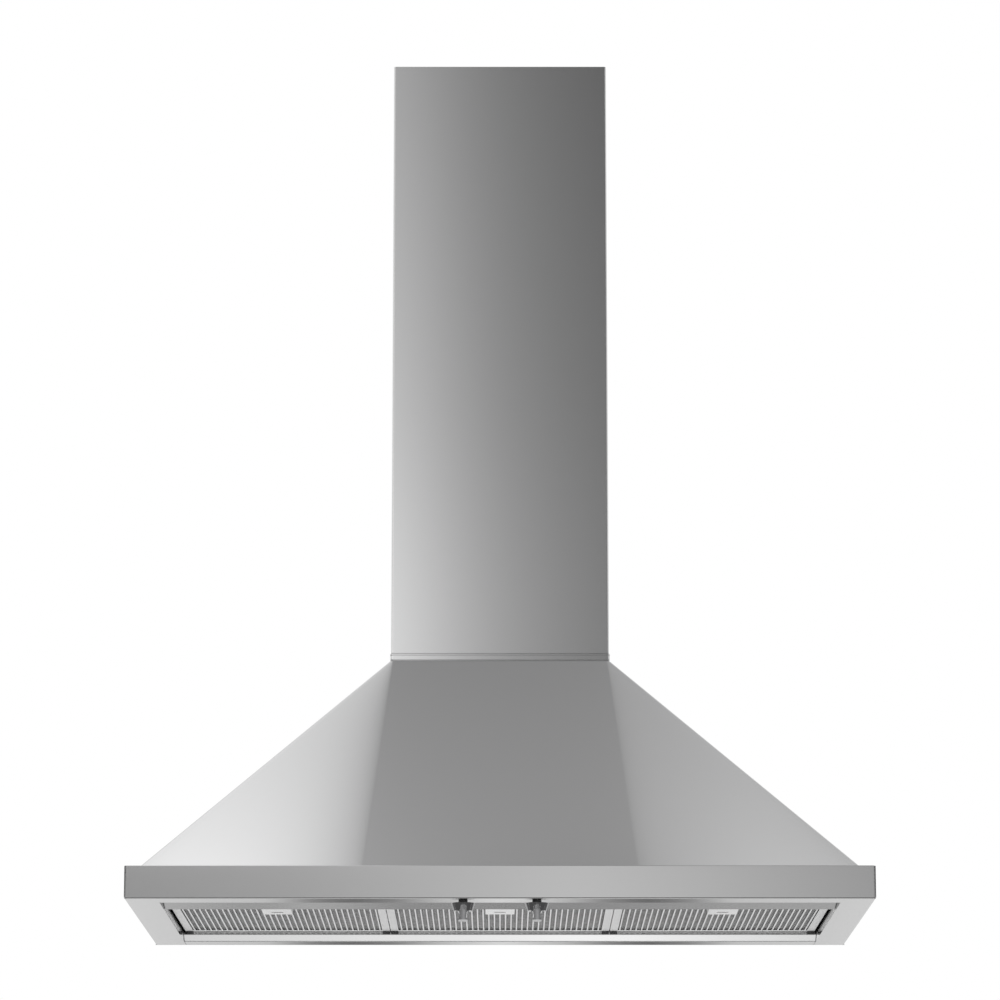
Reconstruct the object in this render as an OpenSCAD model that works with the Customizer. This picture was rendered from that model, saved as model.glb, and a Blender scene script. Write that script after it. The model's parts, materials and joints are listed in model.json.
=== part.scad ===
// Wall-mounted chimney range hood, in millimetres.
// X runs to the right, Y = 0 is the wall and the front faces -Y.
// Z = 0 is the level of the lower frame's underside.

/* [Hood body] */
// Width across the fascia
hood_w = 900; // [860:10:1000]
// Depth from the wall to the fascia's face
hood_d = 500; // [480:5:540]
// Height of the fascia
fascia_h = 40; // [36:1:50]
// Height of the sloping canopy
canopy_h = 288; // [270:2:320]
// Thickness of the outer steel sheet
sheet_t = 1; // [0.8:0.1:1.2]
// Thickness of the back panel
back_t = 1.2; // [1:0.1:2]
// Outside radius of the fascia's front corners
corner_r = 3; // [2:0.5:6]
// Depth of the lip under the front edge
lip_d = 40; // [38:1:44]
// Width of the flanges under the two sides
flange_w = 40; // [36:1:44]
// Height that the inner edges of the lip and flanges turn up
return_h = 11.4; // [10:0.2:14]

/* [Canopy] */
// How far the canopy's foot stands in from each side
canopy_side_in = 10; // [6:1:16]
// How far the middle of the canopy's foot stands back from the fascia's face
canopy_front_in = 3; // [2:0.5:8]
// How far the bowed front has swept back at its ends
bow_sweep = 40; // [20:2:60]
// Width of the flat middle of the bowed front
bow_flat_w = 330; // [290:10:350]
// Power of the bow's curve: a low power starts with a sharper crease
bow_power = 1.4; // [1.2:0.1:2]
// Bend radius of the canopy's two outer edges
edge_r = 3; // [2:0.5:4]
// Width of the ledge that the canopy stands on
ledge_in = 8; // [5:1:14]

/* [Chimney] */
// Width of the lower chimney
chimney_w = 275; // [265:5:300]
// Depth of the lower chimney
chimney_d = 280; // [270:5:300]
// Height of the lower chimney
chimney_h = 773; // [700:5:800]
// Outside radius of the chimney's front corners
chimney_r = 2.5; // [2:0.5:4]
// Width of the flanges turned in along the wall
wall_flange_w = 20; // [14:1:24]
// Gap between the lower and the upper chimney
slide_gap = 0.5; // [0.4:0.1:1]
// Height of the collar between canopy and chimney
collar_h = 9; // [8:0.5:12]
// How far the collar's bands stand out
collar_out = 1; // [0.6:0.1:2]
// Height of the collar's lower band
band_h = 4.8; // [4:0.2:5.4]
// Height of the bead along the collar's top
bead_h = 1.6; // [1.2:0.1:2]
// How far the collar stands up inside the chimney
upstand_h = 15; // [12:1:20]
// Depth of the grooves between the collar's bands
groove_d = 0.6; // [0.4:0.1:1]
// Width of the collar's foot inside the chimney
collar_foot = 14; // [10:1:16]
// Height of the wall bracket in the upper chimney
bracket_h = 40; // [30:2:60]
// How far the wall bracket sits below the upper chimney's top
bracket_drop = 8; // [4:1:20]

/* [Underside] */
// Depth of the lamp strip
strip_d = 89; // [86:1:94]
// Height of the lamp strip's rear edge
strip_rear_z = 2.5; // [2:0.5:5]
// Height of the flange at the strip's rear edge
strip_flange_h = 13.5; // [12:0.5:16]
// Depth of the flat rear flange
rear_flange_d = 38.4; // [36:0.4:42]
// Depth of the slanted face in front of the rear flange
rear_slant_d = 13.1; // [11:0.1:15]
// Height of that slanted face
rear_slant_h = 7.5; // [6:0.5:9]
// Thickness of the strips' sheet
strip_t = 1; // [0.8:0.1:1.2]
// Depth of the fold along the top of the lamp strip's rear flange
strip_fold_d = 12; // [8:1:16]
// Depth of the ledge that the filters' tabs lie on
ledge_d = 14; // [12:1:18]
// Outside radius of the ledge's front bend, which the tabs turn about
ledge_r = 1.5; // [1.2:0.1:2]

/* [Grease filters] */
// Width of the middle filter
filter_mid_w = 282.4; // [272:2:292]
// Gap between two filters
filter_gap = 1; // [0.6:0.2:2]
// Gap beside the outer filters
filter_side_gap = 2.9; // [2:0.1:5]
// Gap in front of a filter
filter_front_gap = 2; // [1.5:0.5:3]
// Gap behind a filter
filter_rear_gap = 3.5; // [3:0.5:5]
// Thickness of a filter
filter_t = 10; // [8:0.5:12]
// Width of a filter's rim
rim_w = 10; // [8:0.5:12]
// Sheet of a filter's rim
rim_t = 1; // [0.8:0.1:1.2]
// Pitch of the grille's ribs
rib_pitch = 7.05; // [6:0.05:9]
// Width of one rib
rib_w = 1.8; // [1.4:0.1:2.6]
// Width of a rear tab
tab_w = 22; // [16:1:28]
// How far a rear tab reaches over its ledge
tab_reach = 9; // [8:0.5:12]
// Height of the tab above the filter's underside
tab_rise = 1.9; // [1.6:0.1:2.4]
// Width of the feet under a filter's rear corners
foot_w = 9; // [7:0.5:12]
// Depth of those feet
foot_d = 4.5; // [3:0.5:6]
// Height of those feet
foot_h = 4; // [3:0.2:5]

/* [Filter latches] */
// Width of a latch
latch_w = 36; // [30:1:44]
// Length of a latch
latch_l = 60; // [50:1:70]
// How far a latch hangs below its filter
latch_drop = 7.9; // [6:0.1:9]
// Width of the finger slot
slot_w = 16; // [14:1:22]
// Length of the finger slot
slot_l = 8; // [6:0.5:12]

/* [Knobs] */
// Distance of each knob from the middle
knob_x = 44.3; // [36:0.1:60]
// Diameter of a knob's skirt
knob_dia = 29; // [26:0.5:32]
// Diameter of the skirt's lower end
skirt_end_dia = 23; // [20:0.5:26]
// Height of a knob's skirt
skirt_h = 9.2; // [8:0.1:10]
// Height of the whole knob
knob_h = 20.7; // [18:0.1:24]
// Width of the grip bar at its waist
bar_w = 7.8; // [6:0.2:10]
// Width of the grip bar's lower end
bar_end_w = 11; // [9:0.2:12]
// Radius of the scoops beside the grip bar
scoop_r = 4.6; // [4:0.1:6]
// Diameter of the switch's threaded neck
neck_dia = 11; // [10:0.5:14]
// How far the neck stands below the lip
neck_l = 3; // [2:0.5:4]
// Diameter of a switch shaft
shaft_dia = 6; // [5:0.5:7]
// Length of the shaft inside the knob
shaft_in_knob = 12; // [10:0.5:14]
// Length of the shaft above the lip's underside
shaft_in_switch = 8; // [6:0.5:10]
// Width of a switch
switch_w = 26; // [22:1:30]
// Height of a switch
switch_h = 18; // [14:1:22]

/* [Blower] */
// Distance of the blower's axis from the middle
blower_x = 65; // [60:1:70]
// Height of the blower's axis above the lower frame
blower_z = 205; // [198:1:210]
// Distance of the blower's middle plane from the wall
blower_y = 140; // [130:1:146]
// Width of the blower case along its axis
case_w = 120; // [110:1:126]
// Least radius of the scroll
scroll_r = 82; // [80:1:86]
// Greatest radius of the scroll
scroll_end_r = 125; // [120:1:128]
// Wall of the blower case
case_t = 1.5; // [1.2:0.1:2]
// Width of the case's joint flanges
case_flange = 9; // [7:0.5:11]
// Diameter of each inlet
inlet_dia = 124; // [120:1:128]
// Diameter of the impeller
impeller_dia = 150; // [146:1:152]
// Length of the impeller
impeller_l = 104; // [94:1:106]
// Depth of the blades
blade_depth = 12; // [10:0.5:14]
// Thickness of a blade
blade_t = 0.8; // [0.6:0.1:1.2]
// Number of blades
blade_count = 36; // [24:1:42]
// Diameter of the motor
motor_dia = 92; // [84:1:96]
// Length of the motor
motor_l = 62; // [54:1:66]
// Diameter of the motor's shaft
motor_shaft_dia = 8; // [6:0.5:10]
// Depth of the motor's end bells
bell_l = 14; // [10:1:18]
// Width of the arms that hold the motor
arm_w = 18; // [14:1:22]
// Height of the inlets' rims
inlet_rim = 5; // [3:0.5:7]

/* [Outlet] */
// Outside diameter of the duct spigot
spigot_dia = 149; // [146:0.5:152]
// Wall of the spigot
spigot_t = 1.2; // [1:0.1:2]
// Height of the spigot
spigot_h = 50; // [46:1:60]
// Thickness of the damper flaps
flap_t = 0.8; // [0.6:0.1:1.2]
// Diameter of the flaps' axle
axle_dia = 3; // [2.5:0.1:4]
// Height of the axle above the spigot's foot
axle_h = 13.6; // [13:0.2:18]
// Distance between the flaps' knuckles
knuckle_pitch = 32; // [28:1:36]
// Length of a knuckle
knuckle_l = 18; // [14:1:22]
// Width of the seat that the flaps close on
seat_in = 3.3; // [2:0.1:4]

/* [Lamps and wiring] */
// Distance of each lamp from the middle
lamp_x = 250; // [200:5:300]
// Diameter of a lamp's bezel
lamp_dia = 39; // [34:1:41]
// Depth of a lamp's body
lamp_h = 18; // [14:1:19]
// Width of the terminal box
box_w = 110; // [90:5:120]
// Height of the terminal box
box_h = 60; // [50:2:70]
// Depth of the terminal box
box_d = 36; // [30:1:40]
// Wall of the terminal box
box_t = 2; // [1.5:0.1:3]
// Height of the terminal box above the lower frame
box_z = 48; // [44:1:60]
// Diameter of the capacitor
capacitor_dia = 32; // [26:1:36]
// Diameter of the cable gland's thread
gland_dia = 16; // [12:1:20]
// Diameter of the gland's bore for the supply cable
gland_bore = 9; // [7:0.5:10]
// Distance of the gland from the chimney's side
gland_in = 32.5; // [28:0.5:36]
// Distance of the gland from the wall
gland_y = 34; // [28:1:38]

/* [Mounting] */
// Distance between the wall holes from left to right
wall_hole_w = 400; // [380:10:440]
// Distance between the wall holes from bottom to top
wall_hole_h = 140; // [120:5:160]
// Height of the lower wall holes
wall_hole_z = 80; // [70:2:90]
// Diameter of the wall holes
wall_hole_dia = 8; // [6:0.5:10]
// Distance between the ceiling bracket's holes
bracket_hole_w = 120; // [100:5:160]
// Diameter of the ceiling bracket's holes
bracket_hole_dia = 6; // [5:0.5:8]

/* [Clearances] */
// Gap between touching pieces that move
run_gap = 0.3; // [0.2:0.05:0.4]
// Radial clearance of a shaft in its bore
fit_gap = 0.05; // [0.02:0.01:0.1]

/* [Hidden] */
$fn = 48;
SIDES = ["left", "middle", "right"];
cut = 1;
canopy_z = fascia_h;
canopy_top = canopy_z + canopy_h;
chimney_z = canopy_top + collar_h;
chimney_top = chimney_z + chimney_h;
foot_half = hood_w / 2 - canopy_side_in;
foot_front = hood_d - canopy_front_in;
side_run = foot_half - chimney_w / 2;
front_run = foot_front - chimney_d;
side_in = sheet_t * norm([side_run, canopy_h]) / canopy_h;
front_in = sheet_t * norm([front_run, canopy_h]) / canopy_h;
window_half = hood_w / 2 - flange_w;
window_front = hood_d - lip_d;
strip_half = window_half - run_gap;
strip_rear = window_front - strip_d;
strip_slope = atan((return_h - strip_rear_z) / (strip_d - run_gap));
filter_z = return_h;
filter_front = strip_rear - filter_front_gap;
rear_edge = rear_flange_d + rear_slant_d;
filter_rear = rear_edge + filter_rear_gap;
filter_l = filter_front - filter_rear;
filter_out_w = (2 * window_half - 2 * filter_side_gap - 2 * filter_gap - filter_mid_w) / 2;
filter_out_x = filter_mid_w / 2 + filter_gap + filter_out_w / 2;
tab_z = filter_z + tab_rise;
ledge_z = tab_z - run_gap;
latch_top = filter_z - run_gap;
latch_low = filter_z - latch_drop;
knob_y = hood_d - lip_d / 2;
knob_top = -neck_l - run_gap;
plate_t = 1.5;
plate_z = canopy_top - plate_t;
outlet_left = blower_x - scroll_end_r;
outlet_w = -2 * outlet_left;
tongue_x = outlet_left + outlet_w - blower_x;
case_front = blower_y + case_w / 2;
case_rear = blower_y - case_w / 2;
hub_dia = 2.6 * motor_shaft_dia;
lamp_along = lamp_dia / 2 + 3;
lamp_body_r = lamp_dia / 2 - 2;
spigot_in = spigot_dia / 2 - spigot_t;
flap_z = canopy_top + axle_h - 2.3;
axle_z = canopy_top + axle_h;
knuckle_r = axle_dia / 2 + 1.1;
upper_w = chimney_w - 2 * sheet_t - 2 * slide_gap;
upper_front = chimney_d - sheet_t - slide_gap;
upper_back = 2 * sheet_t;
upper_z = chimney_z + upstand_h + run_gap;
upper_h = chimney_top - upper_z - 1;
bracket_z = upper_z + upper_h - bracket_h - bracket_drop;
gland_x = chimney_w / 2 - gland_in;
gland_r = gland_dia / 2;
gland_nut_r = gland_r + 4;
box_x = -wall_hole_w / 2 + 20;
motor_front = blower_y - 8;
motor_rear = motor_front - motor_l;
bell_r = motor_dia / 2 - 5;
arm_r = inlet_dia / 2 + 12;
arm_foot = 6;
scroll_steps = 24;
scroll_start = 90 + asin(-tongue_x / scroll_r);
screw_dia = 4;
wall_holes = [for (x = [-1, 1]) for (z = [0, 1])
    [x * wall_hole_w / 2, wall_hole_z + z * wall_hole_h]];

// Plan of a box against the wall, with its two front corners rounded
module plan(w, d, r, back = 0) {
    translate([-w / 2 + r, -d])
        square([w - 2 * r, d - back]);
    translate([-w / 2, -d + r])
        square([w, d - r - back]);
    for (x = [-1, 1])
        translate([x * (w / 2 - r), -d + r])
            circle(r = r);
}

// Upright wall on the left, front and right of such a plan
module three_walls(w, d, r, t, h, back = 0) {
    linear_extrude(height = h)
        difference() {
            plan(w, d, r, back);
            plan(w - 2 * t, d - t, max(r - t, 0.2), back - cut);
        }
}

// Solid along X with the given outline in Y and Z
module along_x(w) {
    translate([-w / 2, 0, 0])
        rotate([90, 0, 90])
            linear_extrude(height = w)
                children();
}

// Round bar along Y, from its front end
module along_y(front, l, r) {
    translate([0, -front, 0])
        rotate([-90, 0, 0])
            cylinder(h = l, r = r);
}

// Outline of a sheet of thickness t folded along a path, on the path's left
function unit(v) = v / norm(v);
function turn_left(v) = [-v.y, v.x];
function before(path, i) = unit(i > 0 ? path[i] - path[i - 1] : path[1] - path[0]);
function after(path, i) = i < len(path) - 1 ? unit(path[i + 1] - path[i]) : before(path, i);
function corner(path, i, t) =
    let (a = before(path, i), b = after(path, i))
    path[i] + (turn_left(a) + turn_left(b)) * t / (1 + a * b);
function folded(path, t) =
    concat(path, [for (i = [len(path) - 1:-1:0]) corner(path, i, t)]);

// Right half of the canopy's foot, from the wall round the corner to the middle
bow_steps = 10;
bend_steps = 4;
function bow_y(u, front) = -front + bow_sweep * pow(u, bow_power);
function bow_angle(half) = atan(bow_power * bow_sweep / (half - bow_flat_w / 2));
function bend(centre, r, first, last) =
    [for (i = [0:bend_steps])
        let (a = first + (last - first) * i / bend_steps)
        centre + r * [cos(a), sin(a)]];
function foot_half_ring(half, front, r) =
    let (sweep = bow_angle(half), end_y = bow_y(1, front),
        centre = [half - r, end_y + r * tan(45 - sweep / 2) + r * 0.1])
    concat([[half, -back_t]],
        bend(centre, r, 0, sweep - 90),
        [for (i = [bow_steps - 1:-1:0])
            let (u = pow(i / bow_steps, 1.4))
            [bow_flat_w / 2 + u * (half - bow_flat_w / 2), bow_y(u, front)]]);
function top_half_ring(half, front, r, back, sweep) =
    let (centre = [half - r, -front + r])
    concat([[half, -back]],
        bend(centre, r, 0, sweep - 90),
        [for (i = [0:bow_steps - 1]) centre + r * [cos(sweep - 90), sin(sweep - 90)]]);
function flip(p) = [-p.x, p.y];
function whole(half) =
    concat(half, [for (i = [len(half) - 1:-1:0]) flip(half[i])]);
function foot_ring(in_x, in_y) =
    whole(foot_half_ring(foot_half - in_x, foot_front - in_y, max(edge_r - in_x, 0.8)));
function top_ring(in_x, in_y) =
    whole(top_half_ring(chimney_w / 2 - in_x, chimney_d - in_y,
        max(edge_r - in_x, 0.8), back_t, bow_angle(foot_half)));
function lift(ring, z) = [for (p = ring) [p.x, p.y, z]];

// Skin between two rings: k is the first point's number of each ring
function same(p, q) = norm(p - q) < 0.001;
function skin(low, high, n, top) =
    [for (i = [0:n - 2]) each
        same(top[i], top[i + 1])
            ? [[low + i, low + i + 1, high + i]]
            : [[low + i, low + i + 1, high + i + 1], [low + i, high + i + 1, high + i]]];

module fascia_frame() {
    color("lightgray") {
        difference() {
            linear_extrude(height = fascia_h)
                plan(hood_w, hood_d, corner_r, back_t);
            translate([0, 0, sheet_t])
                linear_extrude(height = fascia_h - 2 * sheet_t)
                    plan(hood_w - 2 * sheet_t, hood_d - sheet_t,
                        corner_r - sheet_t, -cut);
            translate([-window_half, -window_front, -cut])
                cube([2 * window_half, window_front + cut, sheet_t + 2 * cut]);
            translate([0, 0, fascia_h - sheet_t - cut])
                linear_extrude(height = sheet_t + 2 * cut)
                    ledge_opening();
            for (x = [-1, 1])
                translate([x * knob_x, -knob_y, -cut])
                    cylinder(h = sheet_t + 2 * cut, d = neck_dia + 2 * fit_gap);
        }
        difference() {
            translate([-window_half - sheet_t, -window_front - sheet_t, 0])
                cube([2 * (window_half + sheet_t), window_front + sheet_t - back_t, return_h]);
            translate([-window_half, -window_front, -cut])
                cube([2 * window_half, window_front + cut, return_h + 2 * cut]);
        }
    }
}

module ledge_opening() {
    in = ledge_in;
    half = foot_half - in;
    end = foot_front - bow_sweep - in;
    flat = bow_flat_w / 2;
    polygon([[half, cut], [half, -end], [flat, -foot_front + in],
        [-flat, -foot_front + in], [-half, -end], [-half, cut]]);
}

module canopy_shell() {
    outer_foot = foot_ring(0, 0);
    outer_top = top_ring(0, 0);
    inner_foot = foot_ring(side_in, front_in);
    inner_top = top_ring(side_in, front_in);
    n = len(outer_foot);
    end = n - 1;
    outside = skin(0, n, n, outer_top);
    inside = [for (f = skin(2 * n, 3 * n, n, inner_top)) [f[2], f[1], f[0]]];
    foot_rim = [for (i = [0:n - 2]) each
        [[i + 1, i, 2 * n + i], [i + 1, 2 * n + i, 2 * n + i + 1]]];
    top_rim = [for (i = [0:n - 2]) if (!same(outer_top[i], outer_top[i + 1])) each
        [[n + i, n + i + 1, 3 * n + i + 1], [n + i, 3 * n + i + 1, 3 * n + i]]];
    wall_ends = [[0, n, 3 * n], [0, 3 * n, 2 * n],
        [n + end, end, 2 * n + end], [n + end, 2 * n + end, 3 * n + end]];
    color("silver")
        polyhedron(
            points = concat(lift(outer_foot, canopy_z), lift(outer_top, canopy_top),
                lift(inner_foot, canopy_z), lift(inner_top, canopy_top)),
            faces = [for (f = concat(outside, inside, foot_rim, top_rim, wall_ends))
                [f[2], f[1], f[0]]]);
}

module back_panel() {
    color("gainsboro")
        rotate([90, 0, 0])
            linear_extrude(height = back_t)
                difference() {
                    polygon([[-hood_w / 2, 0], [hood_w / 2, 0], [hood_w / 2, canopy_z],
                        [foot_half, canopy_z], [chimney_w / 2, canopy_top],
                        [-chimney_w / 2, canopy_top], [-foot_half, canopy_z],
                        [-hood_w / 2, canopy_z]]);
                    for (p = wall_holes)
                        translate(p)
                            circle(d = wall_hole_dia);
                }
}

module top_plate() {
    half = chimney_w / 2 - side_in - run_gap;
    color("gainsboro")
        translate([0, 0, plate_z])
            difference() {
                translate([-half, -chimney_d + front_in + run_gap, 0])
                    cube([2 * half, chimney_d - front_in - run_gap - back_t, plate_t]);
                translate([0, -blower_y, -cut])
                    cylinder(h = plate_t + 2 * cut, r = spigot_in - seat_in);
                translate([gland_x, -gland_y, -cut])
                    cylinder(h = plate_t + 2 * cut, r = gland_r + fit_gap);
            }
}

module chimney_collar() {
    t = sheet_t;
    core_w = chimney_w - 2 * groove_d;
    core_d = chimney_d - groove_d;
    band_w = chimney_w + 2 * collar_out;
    band_d = chimney_d + collar_out;
    band_r = chimney_r + collar_out;
    color("silver")
        translate([0, 0, canopy_top]) {
            three_walls(core_w, core_d, chimney_r, 2 * t, collar_h);
            translate([0, 0, t])
                three_walls(band_w, band_d, band_r, collar_out + t, band_h);
            translate([0, 0, collar_h - bead_h - groove_d])
                three_walls(band_w, band_d, band_r, collar_out + t, bead_h);
            three_walls(chimney_w - 2 * t - 2 * run_gap, chimney_d - t - run_gap,
                chimney_r - t, t, collar_h + upstand_h, t + run_gap);
            three_walls(core_w, core_d, chimney_r, collar_foot, t);
        }
}

module lower_chimney() {
    color("silver")
        translate([0, 0, chimney_z]) {
            three_walls(chimney_w, chimney_d, chimney_r, sheet_t, chimney_h);
            for (x = [-1, 1])
                translate([x * (chimney_w - wall_flange_w) / 2 - wall_flange_w / 2,
                    -sheet_t, 0])
                    cube([wall_flange_w, sheet_t, chimney_h]);
        }
}

module upper_chimney() {
    color("silver")
        translate([0, 0, upper_z]) {
            three_walls(upper_w, upper_front, chimney_r - sheet_t, sheet_t, upper_h,
                upper_back);
            for (x = [-1, 1])
                translate([x * (upper_w - wall_flange_w) / 2 - wall_flange_w / 2,
                    -upper_back - sheet_t, 0])
                    cube([wall_flange_w, sheet_t, upper_h]);
        }
}

// Plate on the wall, thinner where it passes behind the upper chimney's flanges
module ceiling_bracket() {
    wide = upper_w / 2 - sheet_t - run_gap;
    half = chimney_w / 2 - wall_flange_w - 3;
    color("gainsboro")
        translate([0, 0, bracket_z])
            difference() {
                union() {
                    translate([-half, -upper_back, 0])
                        cube([2 * half, upper_back, bracket_h]);
                    translate([-wide, -upper_back, 0])
                        cube([2 * wide, upper_back - sheet_t - run_gap, bracket_h]);
                }
                for (x = [-1, 1])
                    translate([x * bracket_hole_w / 2, cut, bracket_h / 2])
                        rotate([90, 0, 0])
                            cylinder(h = upper_back + 2 * cut, d = bracket_hole_dia);
            }
}

// Sheet strip that slopes down behind the lip and carries the lamps
module lamp_strip() {
    front = -window_front;
    rear = -strip_rear;
    top = strip_rear_z + strip_flange_h;
    color("silver")
        difference() {
            along_x(2 * strip_half)
                polygon(folded([[front + run_gap, return_h], [rear, strip_rear_z],
                    [rear, top], [rear - strip_fold_d, top]], strip_t));
            for (x = [-1, 1])
                at_lamp(x)
                    cylinder(h = 4 * strip_t, r = lamp_body_r + fit_gap, center = true);
        }
}

// Moves a lamp to its place square to the sloping strip: Z = 0 is the strip's underside
module at_lamp(x) {
    translate([x * lamp_x, -window_front + run_gap, return_h])
        rotate([-strip_slope, 0, 0])
            translate([0, lamp_along, 0])
                children();
}

// Trim with a ledge for the filters' tabs, bent round at its front
module rear_trim() {
    edge = -rear_edge;
    color("silver")
        along_x(2 * strip_half) {
            polygon(folded([[edge + ledge_d, ledge_z], [edge + ledge_r, ledge_z]], strip_t));
            translate([edge + ledge_r, ledge_z - ledge_r])
                intersection() {
                    difference() {
                        circle(r = ledge_r);
                        circle(r = ledge_r - strip_t);
                    }
                    translate([-ledge_r, 0])
                        square(ledge_r);
                }
            polygon(folded([[edge, ledge_z - ledge_r], [edge, rear_slant_h],
                [-rear_flange_d, 0], [-back_t, 0]], strip_t));
        }
}

// Lamp body with a bezel below the strip, cooling fins above and a recess for the lens
module lamp(x) {
    bezel_t = 1;
    recess = 3;
    fin_l = 5;
    fin_t = 1.2;
    color("silver")
        at_lamp(x)
            difference() {
                union() {
                    translate([0, 0, -bezel_t])
                        cylinder(h = bezel_t, d = lamp_dia);
                    cylinder(h = lamp_h, r = lamp_body_r);
                    for (a = [0:30:330])
                        rotate([0, 0, a])
                            translate([lamp_body_r - fin_l - 1, -fin_t / 2, lamp_h])
                                cube([fin_l, fin_t, fin_l - 1]);
                }
                translate([0, 0, -bezel_t - cut])
                    cylinder(h = bezel_t + recess + cut, r = lamp_body_r - 2);
            }
}

module lens(x) {
    inset = 0.5;
    color("white")
        at_lamp(x)
            translate([0, 0, -inset])
                cylinder(h = 3 * inset, r = lamp_body_r - 2 - fit_gap);
}

module switch_body(x) {
    tag_w = 6;
    tag_t = 0.8;
    color("dimgray")
        translate([x * knob_x, -knob_y, 0])
            difference() {
                union() {
                    translate([-switch_w / 2, -switch_w / 2, sheet_t])
                        cube([switch_w, switch_w, switch_h]);
                    translate([0, 0, -neck_l])
                        cylinder(h = neck_l + sheet_t, d = neck_dia);
                    for (i = [-1, 1])
                        translate([i * switch_w / 4 - tag_t / 2, -tag_w / 2, sheet_t + switch_h])
                            cube([tag_t, tag_w, tag_w]);
                }
                translate([0, 0, -neck_l - cut])
                    cylinder(h = neck_l + shaft_in_switch + sheet_t + cut,
                        d = shaft_dia + 2 * fit_gap);
            }
}

module switch_shaft(x) {
    color("gray")
        translate([x * knob_x, -knob_y, knob_top - shaft_in_knob])
            cylinder(h = shaft_in_knob - knob_top + shaft_in_switch, d = shaft_dia);
}

// Conical skirt above a grip bar that widens again at its lower end
module knob(x) {
    color("dimgray")
        translate([x * knob_x, -knob_y, knob_top])
            mirror([0, 0, 1])
                difference() {
                    union() {
                        cylinder(h = skirt_h, d1 = knob_dia, d2 = skirt_end_dia);
                        intersection() {
                            cylinder(h = knob_h, d = skirt_end_dia);
                            rotate([90, 0, 0])
                                linear_extrude(height = knob_dia, center = true)
                                    grip_outline();
                        }
                    }
                    translate([0, 0, -cut])
                        cylinder(h = shaft_in_knob + cut, d = shaft_dia);
                }
}

module grip_outline() {
    side = bar_w / 2 + scoop_r;
    waist = skirt_h + scoop_r;
    flare = knob_h - (bar_end_w - bar_w);
    right = [[side, 0], [side, waist], [bar_w / 2, waist], [bar_w / 2, flare],
        [bar_end_w / 2, knob_h - 0.6], [bar_end_w / 2, knob_h]];
    difference() {
        polygon(concat(right, [for (i = [len(right) - 1:-1:0]) flip(right[i])]));
        for (i = [-1, 1])
            translate([i * side, waist])
                circle(r = scoop_r);
    }
}

function filter_w(i) = i == 1 ? filter_mid_w : filter_out_w;
function filter_x(i) = (i - 1) * filter_out_x;

module filter_block(i, in, low, high) {
    w = filter_w(i) - 2 * in;
    translate([filter_x(i) - w / 2, -filter_front + in, filter_z + low])
        cube([w, filter_l - 2 * in, high - low]);
}

// Channel-section rim with two tabs that lie on the rear trim's ledge
module filter_rim(i) {
    color("silver") {
        difference() {
            filter_block(i, 0, 0, filter_t);
            filter_block(i, rim_t, rim_t, filter_t - rim_t);
            filter_block(i, rim_w, -cut, filter_t + cut);
        }
        for (x = [-1, 1])
            translate([filter_x(i) + x * filter_w(i) / 4 - tab_w / 2, -filter_rear - rim_t,
                tab_z])
                cube([tab_w, tab_reach + rim_t, 1]);
    }
}

// Lower sheet of the filter, slotted into ribs that run from front to rear
module filter_grille(i) {
    open_w = filter_w(i) - 2 * rim_w;
    count = floor((open_w - rib_w) / rib_pitch);
    first = -(count - 1) / 2;
    color("silver")
        difference() {
            filter_block(i, rim_t + run_gap, rim_t, 2 * rim_t);
            for (k = [0:count - 1])
                translate([filter_x(i) + (first + k) * rib_pitch - (rib_pitch - rib_w) / 2,
                    -filter_front + rim_w + 1, filter_z])
                    cube([rib_pitch - rib_w, filter_l - 2 * rim_w - 2, 3 * rim_t]);
        }
}

// Pack of knitted mesh between the rims
module filter_mesh(i) {
    color("darkgray")
        filter_block(i, rim_t + run_gap, 2 * rim_t, filter_t - rim_t);
}

// Rounded feet under the filter's two rear corners
module filter_feet(i) {
    r = foot_d / 3;
    color("dimgray")
        for (x = [-1, 1])
            translate([filter_x(i) + x * (filter_w(i) / 2 - foot_w / 2 - 0.5),
                -filter_rear - foot_d - 1, filter_z - foot_h])
                linear_extrude(height = foot_h) {
                    translate([-foot_w / 2, r])
                        square([foot_w, foot_d - r]);
                    translate([-foot_w / 2 + r, 0])
                        square([foot_w - 2 * r, foot_d]);
                    for (e = [-1, 1])
                        translate([e * (foot_w / 2 - r), r])
                            circle(r = r);
                }
}

// Sliding latch with a finger slot, below the filter's front rim
module latch(i) {
    reach = filter_front_gap - run_gap;
    slot_y = 0.65 * latch_l;
    bolt_t = 2;
    wall = 1.5;
    color("whitesmoke")
        translate([filter_x(i), -filter_front, 0])
            difference() {
                union() {
                    translate([-latch_w / 2, 0, latch_low])
                        cube([latch_w, latch_l, latch_top - latch_low]);
                    translate([-latch_w / 4, -reach, latch_top - 1.5 * bolt_t])
                        cube([latch_w / 2, reach + cut, bolt_t]);
                }
                translate([0, slot_y, latch_low - cut])
                    linear_extrude(height = latch_drop + cut) {
                        square([slot_w - slot_l, slot_l], center = true);
                        for (e = [-1, 1])
                            translate([e * (slot_w - slot_l) / 2, 0])
                                circle(d = slot_l);
                    }
                translate([-latch_w / 2 + wall, wall, latch_top - wall])
                    cube([latch_w - 2 * wall, latch_l - 2 * wall, wall + cut]);
            }
}

// Outline of the scroll and its outlet in X and Z, grown by g
function scroll_at(k, g) =
    let (a = scroll_start - (scroll_start + 180) * k,
        r = scroll_r + g + (scroll_end_r - scroll_r) * k)
    [blower_x + r * cos(a), blower_z + r * sin(a)];
function scroll(g, top) =
    concat([for (i = [0:scroll_steps]) scroll_at(i / scroll_steps, g)],
        [[outlet_left - g, top], [outlet_left + outlet_w + g, top]]);

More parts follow.
